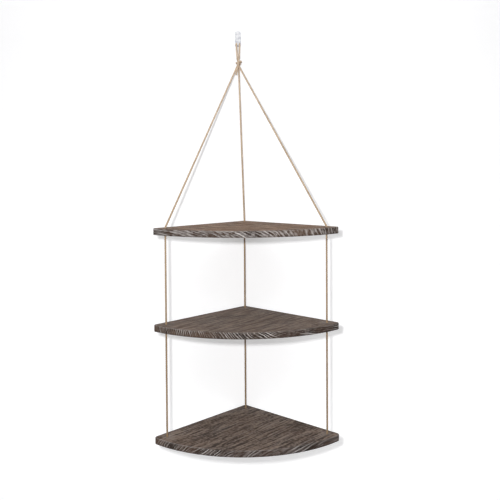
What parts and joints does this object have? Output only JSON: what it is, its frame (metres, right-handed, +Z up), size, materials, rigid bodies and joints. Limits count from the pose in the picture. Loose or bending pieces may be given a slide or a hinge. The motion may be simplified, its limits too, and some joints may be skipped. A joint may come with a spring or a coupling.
{
  "type": "hanging rope shelf",
  "caption": "Corner shelf of quarter-round wooden boards on knotted ropes that meet in a wound knot and hang by one loop from a small wall hook.",
  "frame": {"origin": "middle of the wall face of the hook's adhesive pad", "axes": "+Y into the wall, +Z up, +X to the right as seen from the room"},
  "size_m": [0.4174, 0.2977, 0.9764],
  "materials": {
    "weathered_wood": "weathered, matte",
    "jute_rope": "twisted natural fibre",
    "hook_plastic": "clear, glossy",
    "pad_foam": "soft foam"
  },
  "bodies": {
    "wall_fixing": {"wall_hook": "hook_plastic", "adhesive_pad": "pad_foam"},
    "loop": {"hanging_loop": "jute_rope"},
    "hanger": {"gathering_knot": "jute_rope", "top_shelf": "weathered_wood", "left_upper_rope": "jute_rope", "right_upper_rope": "jute_rope", "back_upper_rope": "jute_rope", "left_middle_rope": "jute_rope", "right_middle_rope": "jute_rope", "back_middle_rope": "jute_rope", "left_lower_rope": "jute_rope", "right_lower_rope": "jute_rope", "back_lower_rope": "jute_rope", "left_top_knot": "jute_rope", "right_top_knot": "jute_rope", "back_top_knot": "jute_rope", "left_middle_knot": "jute_rope", "right_middle_knot": "jute_rope", "back_middle_knot": "jute_rope", "left_bottom_knot": "jute_rope", "right_bottom_knot": "jute_rope", "back_bottom_knot": "jute_rope"},
    "middle_board": {"middle_shelf": "weathered_wood"},
    "bottom_board": {"bottom_shelf": "weathered_wood"}
  },
  "joints": [
    {"name": "swing_out", "type": "hinge", "parent": "wall_fixing", "child": "loop", "pos_m": [0, -0.008, -0.01105], "axis": [-1, 0, 0], "range_deg": [0, 25]},
    {"name": "sway", "type": "hinge", "parent": "loop", "child": "hanger", "pos_m": [0, -0.027, -0.06053], "axis": [0, 1, 0], "range_deg": [-8, 8]},
    {"name": "middle_board_slide", "type": "slide", "parent": "hanger", "child": "middle_board", "axis": [0, 0, 1], "range_m": [0, 0.199]},
    {"name": "bottom_board_slide", "type": "slide", "parent": "hanger", "child": "bottom_board", "axis": [0, 0, 1], "range_m": [0, 0.236]}
  ]
}
